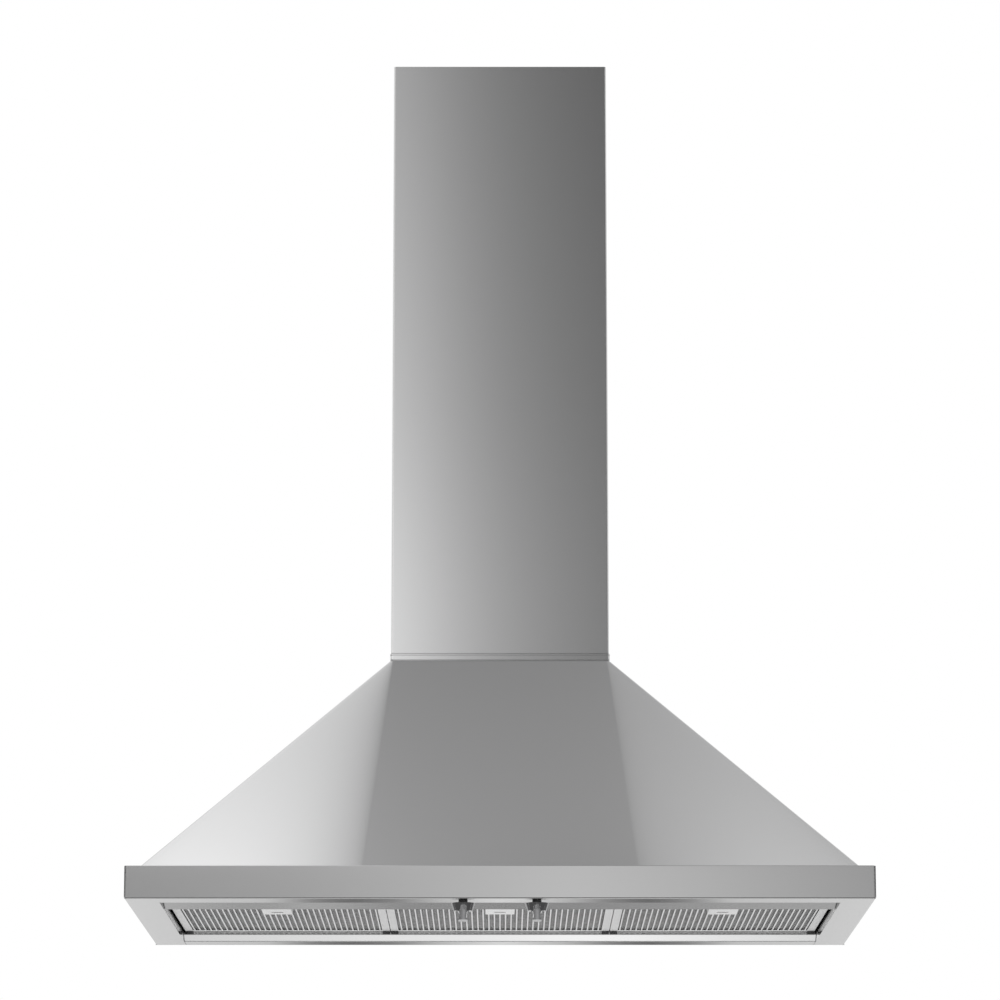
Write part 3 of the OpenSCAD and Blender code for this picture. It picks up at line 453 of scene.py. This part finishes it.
class Growth:
    """A Geometry Nodes tree with named inputs."""

    def __init__(self, name, **inputs):
        self.tree = bpy.data.node_groups.new(name, "GeometryNodeTree")
        self.tree.interface.new_socket("Geometry", in_out="OUTPUT", socket_type="NodeSocketGeometry")
        self.values = inputs
        self.ids = {}
        for label, value in inputs.items():
            kind = "NodeSocketInt" if isinstance(value, int) else "NodeSocketFloat"
            socket = self.tree.interface.new_socket(label, in_out="INPUT", socket_type=kind)
            socket.default_value = value
            self.ids[label] = socket.identifier
        self.entry = self.tree.nodes.new("NodeGroupInput")

    def __getitem__(self, label):
        return self.entry.outputs[label]

    def add(self, kind, settings=None, **sockets):
        node = self.tree.nodes.new("GeometryNode" + kind)
        for name, value in (settings or {}).items():
            setattr(node, name, value)
        for name, value in sockets.items():
            self.feed(value, node.inputs[name.replace("_", " ")])
        return node.outputs[0]

    def feed(self, value, socket):
        if isinstance(value, bpy.types.NodeSocket):
            self.tree.links.new(value, socket)
        else:
            socket.default_value = value

    def simple(self, kind, *values):
        """New shader node fed in the order of its sockets."""
        node = self.tree.nodes.new("ShaderNode" + kind)
        for value, socket in zip(values, node.inputs):
            self.feed(value, socket)
        return node

    def math(self, operation, a, b=0.0):
        node = self.simple("Math", a, b)
        node.operation = operation
        return node.outputs[0]

    def product(self, a, b):
        return self.math("MULTIPLY", a, b)

    def vector(self, x=0.0, y=0.0, z=0.0):
        return self.simple("CombineXYZ", x, y, z).outputs[0]

    def first(self, count):
        """Where a centred row of so many points starts."""
        return self.product(self.math("SUBTRACT", self[count], 1), self.product(self["Pitch"], -0.5))

    def end(self, geometry, material):
        real = self.add("RealizeInstances", Geometry=geometry)
        self.feed(self.add("SetMaterial", Geometry=real, Material=material),
                  self.tree.nodes.new("NodeGroupOutput").inputs[0])

    def grow(self, name):
        """Plain mesh grown with the tree's inputs."""
        ob = added(name, bpy.data.meshes.new(name))
        modifier = ob.modifiers.new("growth", "NODES")
        modifier.node_group = self.tree
        for label, identifier in self.ids.items():
            modifier[identifier] = self.values[label]
        return settled(ob, name)


# Levels are above the filter's underside, and the last sizes of ribs and wires say how far they go under the rim
RIB_PITCH, RIB_W, RIB_H, RIB_EDGE, RIB_LEVEL, RIB_UNDER = 7.05, 1.8, 1.3, 0.4, 0.95, 2
WIRE_PITCH, WIRE_T, WIRE_WAVE, WIRE_LEVEL, WIRE_UNDER_SIDE, WIRE_UNDER_END = RIB_PITCH / 2, 0.42, 0.55, 2.7, 2, 3
CORE_IN, CORE_LOW, CORE_TOP = 3, 3.6, 8.6


def ribs(name, x, width):
    """Rounded ribs from the filter's front to its rear, side by side."""
    count = int((width - 2 * RIM - RIB_W) / RIB_PITCH) + 1
    tree = Growth(name, Count=count, Pitch=RIB_PITCH * MM, Length=(FILTER_LENGTH - 2 * (RIM - RIB_UNDER)) * MM,
                  Width=RIB_W * MM, Height=RIB_H * MM, Edge=RIB_EDGE * MM, Middle=x * MM,
                  Depth=FILTER_MIDDLE * MM, Level=(FILTER_Z + RIB_LEVEL) * MM)
    start = tree.math("ADD", tree.first("Count"), tree["Middle"])
    row = tree.add("MeshLine", Count=tree["Count"], Start_Location=tree.vector(start, tree["Depth"], tree["Level"]),
                   Offset=tree.vector(tree["Pitch"]))
    half = tree.product(tree["Length"], 0.5)
    spine = tree.add("CurvePrimitiveLine", Start=tree.vector(0, tree.product(half, -1)), End=tree.vector(0, half))
    bar = tree.add("CurvePrimitiveQuadrilateral", Width=tree["Width"], Height=tree["Height"])
    soft = tree.add("FilletCurve", {"mode": "POLY"}, Curve=bar, Count=3, Radius=tree["Edge"])
    rib = tree.add("CurveToMesh", Curve=spine, Profile_Curve=soft, Fill_Caps=True)
    tree.end(tree.add("InstanceOnPoints", Points=row, Instance=rib), FINISH["filter_grille"])
    return tree.grow(name)


def wires(name, x, width, along_x):
    """One set of woven wires: each passes over and under the other set's."""
    def plan(along, across):
        return (along, across) if along_x else (across, along)

    run, spread = plan(width - 2 * (RIM - WIRE_UNDER_SIDE), FILTER_LENGTH - 2 * (RIM - WIRE_UNDER_END))
    tree = Growth(name, Count=int(spread / WIRE_PITCH), Steps=int(run / WIRE_PITCH) + 1, Pitch=WIRE_PITCH * MM,
                  Wave=(WIRE_WAVE if along_x else -WIRE_WAVE) * MM, Thickness=WIRE_T * MM, Middle=x * MM,
                  Depth=FILTER_MIDDLE * MM, Level=(FILTER_Z + WIRE_LEVEL) * MM)
    first_wire, first_step = tree.first("Count"), tree.first("Steps")
    row = tree.add("MeshLine", Count=tree["Count"], Start_Location=tree.vector(*plan(0, first_wire)),
                   Offset=tree.vector(*plan(0, tree["Pitch"])))
    steps = tree.add("MeshLine", Count=tree["Steps"], Start_Location=tree.vector(*plan(first_step, 0)),
                     Offset=tree.vector(*plan(tree["Pitch"], 0)))
    laid = tree.add("RealizeInstances", Geometry=tree.add("InstanceOnPoints", Points=row, Instance=steps))
    split = tree.simple("SeparateXYZ", tree.add("InputPosition"))
    turns = [tree.math("COSINE", tree.product(tree.math("DIVIDE", tree.math("SUBTRACT", place, first), tree["Pitch"]),
                                              math.pi))
             for place, first in zip(split.outputs, plan(first_step, first_wire))]
    lift = tree.product(tree.product(*turns), tree["Wave"])
    waved = tree.add("SetPosition", Geometry=laid,
                     Offset=tree.vector(tree["Middle"], tree["Depth"], tree.math("ADD", lift, tree["Level"])))
    ring = tree.add("CurvePrimitiveCircle", Resolution=4, Radius=tree.product(tree["Thickness"], 0.5))
    wire = tree.add("CurveToMesh", Curve=tree.add("MeshToCurve", Mesh=waved), Profile_Curve=ring, Fill_Caps=True)
    tree.end(wire, FINISH["filter_mesh"])
    return tree.grow(name)


def mesh_pack(side, x, width):
    """Two sets of woven wires below the dark core of the pack."""
    bm = bmesh.new()
    for along_x in (False, True):
        bm.from_mesh(wires(f"wires_{side}", x, width, along_x))
    core = bmesh.ops.create_cube(bm, size=1)
    low, high = FILTER_Z + CORE_LOW, FILTER_Z + CORE_TOP
    for v in core["verts"]:
        v.co = Vector((v.co.x * (width - CORE_IN) + x, v.co.y * (FILTER_LENGTH - CORE_IN) + FILTER_MIDDLE,
                       v.co.z * (high - low) + (low + high) / 2)) * MM
    return made(bm, f"mesh_pack_{side}")


for side, x, width in CASSETTES:
    body = f"filter_{side}"
    piece(f"ribs_{side}", ribs(f"ribs_{side}", x, width), body, "filter_grille", f"filter_grille_{side}")
    piece(f"mesh_pack_{side}", smooth(mesh_pack(side, x, width), angle=60), body, "filter_mesh",
          f"filter_mesh_{side}")


# Studio

def flat_square(name, half, material):
    """Flat square that isn't part of the object."""
    bm = bmesh.new()
    bmesh.ops.create_grid(bm, x_segments=1, y_segments=1, size=half)
    ob = added(name, made(bm, name))
    ob.data.materials.append(material)
    return ob


def card(name, centre, size, turn, across, along=((0, 1),)):
    """Studio card that only reflections see: its level follows stops along its width, times stops along its height."""
    mat = bpy.data.materials.new(name)
    mat.use_nodes = True
    nodes, links = mat.node_tree.nodes, mat.node_tree.links
    nodes.remove(nodes["Principled BSDF"])
    glow = nodes.new("ShaderNodeEmission")
    links.new(glow.outputs[0], nodes["Material Output"].inputs["Surface"])
    split = nodes.new("ShaderNodeSeparateXYZ")
    links.new(nodes.new("ShaderNodeTexCoord").outputs["Object"], split.inputs[0])
    product, gain = nodes.new("ShaderNodeMath"), nodes.new("ShaderNodeMath")
    product.operation = gain.operation = "MULTIPLY"
    peak = max(level for _, level in across)
    for axis, stops, top in ((0, across, peak), (1, along, 1)):
        shift = nodes.new("ShaderNodeMath")
        shift.inputs[1].default_value = 0.5
        links.new(split.outputs[axis], shift.inputs[0])
        ramp = nodes.new("ShaderNodeValToRGB")
        elements = ramp.color_ramp.elements
        while len(elements) > 1:
            elements.remove(elements[-1])
        for number, (place, level) in enumerate(stops):
            spot = min(max(place / size[axis] + 0.5, 0), 1)
            element = elements.new(spot) if number else elements[0]
            element.position = spot
            element.color = (*[level / top] * 3, 1)
        links.new(shift.outputs[0], ramp.inputs["Fac"])
        links.new(ramp.outputs["Color"], product.inputs[axis])
    gain.inputs[1].default_value = peak
    links.new(product.outputs[0], gain.inputs[0])
    links.new(gain.outputs[0], glow.inputs["Strength"])
    ob = flat_square(name, 0.5, mat)
    ob.location, ob.scale, ob.rotation_euler = centre, (*size, 1), [math.radians(a) for a in turn]
    ob.visible_camera = ob.visible_diffuse = ob.visible_shadow = ob.visible_transmission = False


def softbox(name, place, aim, size, level):
    """Area light whose face has a given brightness, turned to a point. Reflections don't show it."""
    light = bpy.data.lights.new(name, "AREA")
    light.shape = "RECTANGLE"
    light.size, light.size_y = size
    light.energy = level * math.pi * size[0] * size[1]
    ob = added(name, light)
    ob.location = place
    ob.rotation_euler = (Vector(aim) - Vector(place)).to_track_quat("-Z", "Y").to_euler()
    ob.visible_glossy = False


floor = flat_square("floor", 150, Finish("floor_paint", (0.86, 0.86, 0.86), roughness=0.8).material)
floor.location.z = -6

# Turns of the cards in degrees. Places, sizes and stops are in metres
FACING_FRONT, FACING_SIDE, LYING = (90, 0, 0), (90, 0, 90), (0, 0, 0)
card("card_chimney", (0, -0.95, 1.07), (1.2, 1.86), FACING_FRONT,
     ((-0.30, 1.45), (-0.16, 1.2), (-0.08, 0.72), (0.0, 0.46), (0.08, 0.36), (0.16, 0.26), (0.3, 0.18)),
     ((-0.56, 1.0), (-0.247, 0.73), (0.04, 0.61), (0.24, 0.52), (0.54, 0.45)))
card("card_fascia", (0, -1.4, 0.08), (3.0, 0.56), FACING_FRONT,
     ((-0.7, 0.40), (-0.3, 0.53), (0.1, 0.81), (0.3, 0.69), (0.7, 0.38)))
card("card_overhead", (0, -0.8, 3.0), (3.6, 3.4), LYING,
     ((-1.2, 2.0), (-0.85, 1.52), (-0.52, 0.95), (-0.3, 0.54), (0.28, 0.52), (0.36, 0.68), (0.45, 0.77), (0.85, 0.95),
      (1.1, 1.2), (1.5, 1.05)),
     ((-0.35, 1.0), (0.35, 0.62)))
card("card_behind_wall", (0, 3.0, -0.38), (4.0, 0.76), FACING_FRONT,
     ((-0.9, 0.83), (-0.465, 0.66), (-0.38, 0.27), (-0.296, 0.15), (-0.21, 0.26), (-0.127, 0.58), (0, 0.87),
      (0.127, 0.6), (0.21, 0.29), (0.296, 0.14), (0.38, 0.29), (0.465, 0.66), (0.9, 0.83)))
card("card_dark_rear", (0, 1.25, -1.2), (4.0, 0.6), LYING, ((0, 0.03),))
card("card_low_wall", (0, 3.0, -1.08), (4.0, 0.64), FACING_FRONT,
     ((-0.9, 0.7), (-0.5, 0.38), (-0.38, 0.52), (-0.2, 0.32), (0.1, 0.30), (0.5, 0.42), (0.9, 0.48)))
card("card_below", (0, 0.4, -1.0), (4.2, 0.9), LYING,
     ((-0.8, 0.2), (-0.55, 1.0), (0.0, 1.35), (0.12, 1.5), (0.55, 1.05), (0.8, 0.2)))
card("card_dark_floor", (0, -1.55, -1.0), (5.8, 2.3), LYING, ((0, 0.17),))
card("card_room", (0, -7.5, 2.0), (18, 9), FACING_FRONT, ((-4, 0.75), (4, 0.5)))
for way, side, level in ((-1, "left", 0.85), (1, "right", 0.7)):
    card(f"card_side_{side}", (way * 2.6, -0.9, 0.9), (5.0, 3.6), FACING_SIDE,
         ((-1.5, level), (1.5, level * 1.5)), ((-1.35, 0.2), (-1.1, 1.0)))
    card(f"card_dark_{side}", (way * 1.7, -0.6, 0.235), (4.0, 0.21), FACING_SIDE, ((0, 0.06),))
softbox("light_above", (-1.2, -2.2, 2.6), aim=(0, -0.2, 0.4), size=(1.6, 1.6), level=1.0)


def surroundings(level):
    """White where the camera, a reflection or glass looks, and of the given level as a light."""
    world = bpy.data.worlds.new("studio")
    scene.world = world
    world.use_nodes = True
    nodes, links = world.node_tree.nodes, world.node_tree.links
    nodes.clear()
    path = nodes.new("ShaderNodeLightPath")
    seen = path.outputs["Is Camera Ray"]
    for ray in ("Is Glossy Ray", "Is Transmission Ray"):
        either = nodes.new("ShaderNodeMath")
        either.operation = "MAXIMUM"
        links.new(seen, either.inputs[0])
        links.new(path.outputs[ray], either.inputs[1])
        seen = either.outputs[0]
    blend = nodes.new("ShaderNodeMixShader")
    links.new(seen, blend.inputs["Fac"])
    for socket, strength in ((1, level), (2, 1)):
        white = nodes.new("ShaderNodeBackground")
        white.inputs["Color"].default_value = (1, 1, 1, 1)
        white.inputs["Strength"].default_value = strength
        links.new(white.outputs[0], blend.inputs[socket])
    links.new(blend.outputs[0], nodes.new("ShaderNodeOutputWorld").inputs["Surface"])


surroundings(level=0.88)

TILT = 0.212  # radians by which the camera looks up
camera = added("camera", bpy.data.cameras.new("camera"))
camera.location = (0, -5.696, -0.631)
camera.rotation_euler = (math.radians(90) + TILT, 0, 0)
camera.data.lens = 157
camera.data.sensor_width = 36
camera.data.clip_end = 400
scene.camera = camera
scene.view_settings.view_transform = "Standard"
